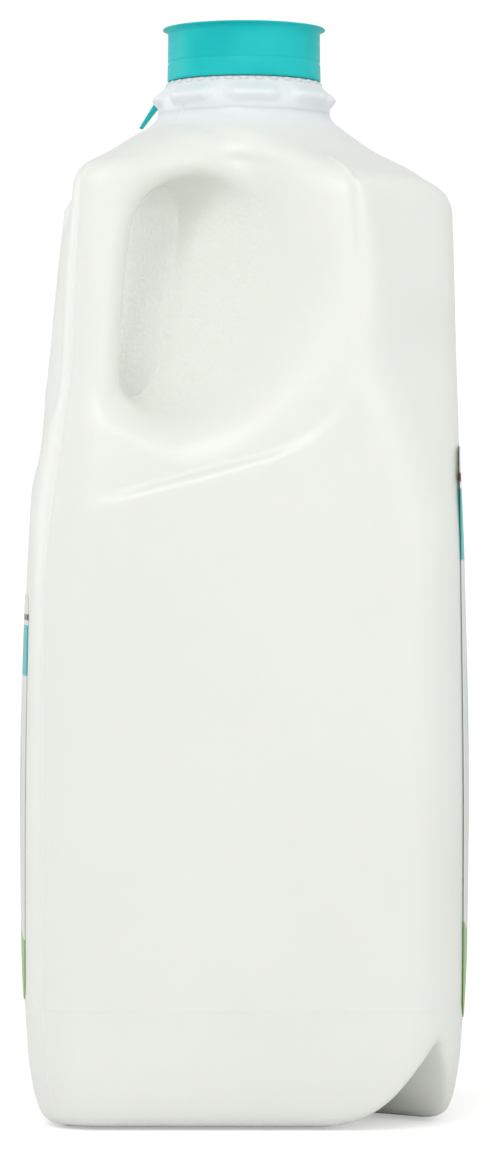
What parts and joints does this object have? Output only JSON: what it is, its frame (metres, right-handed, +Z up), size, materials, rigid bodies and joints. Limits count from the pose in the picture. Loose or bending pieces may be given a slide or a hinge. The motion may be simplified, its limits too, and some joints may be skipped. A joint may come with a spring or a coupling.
{
  "type": "plastic milk jug",
  "caption": "Full half-gallon milk jug of thin cloudy plastic with a moulded corner handle, snap cap with pull tab and plain side labels.",
  "frame": {"origin": "on the floor under the axis of the neck, in the middle of the jug's footprint", "axes": "+Z up along the neck, +X from the handle's corner towards the plain rear corner, +Y towards the side corner on the left of the picture"},
  "size_m": [0.1264, 0.1246, 0.2498],
  "materials": {
    "jug_plastic": "thin cloudy blow-moulded plastic over milk, fine pebble grain above the ledge",
    "cap_plastic": "turquoise moulded plastic, satin",
    "label_film": "printed film in plain fields of colour, no lettering"
  },
  "bodies": {
    "root": {"jug": "jug_plastic", "cap": "cap_plastic", "label_plain_face": "label_film", "label_ledge_face": "label_film"}
  },
  "joints": []
}
